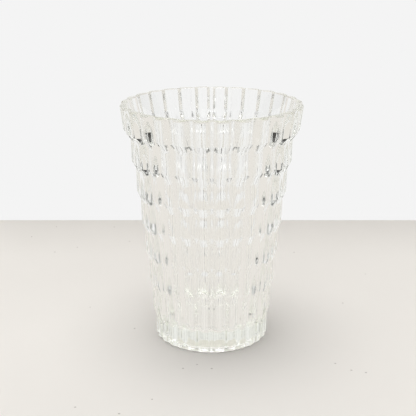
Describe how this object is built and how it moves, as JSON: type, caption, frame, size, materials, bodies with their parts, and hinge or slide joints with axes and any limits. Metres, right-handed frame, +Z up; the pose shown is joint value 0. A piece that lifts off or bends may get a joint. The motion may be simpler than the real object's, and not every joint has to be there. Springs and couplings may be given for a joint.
{
  "type": "cut crystal vase",
  "caption": "Tapered vase of heavy clear glass: stacked fluted tiers with bevelled lower edges on a fluted foot, scalloped rim, smooth flaring bowl.",
  "frame": {"origin": "centre of the resting ring under the foot", "axes": "+Z up along the axis of the vase; +X through the bottom of a groove between two ribs"},
  "size_m": [0.1496, 0.1496, 0.2],
  "materials": {
    "clear_glass": "fire-polished clear glass"
  },
  "bodies": {
    "root": {"vase_body": "clear_glass"}
  },
  "joints": []
}
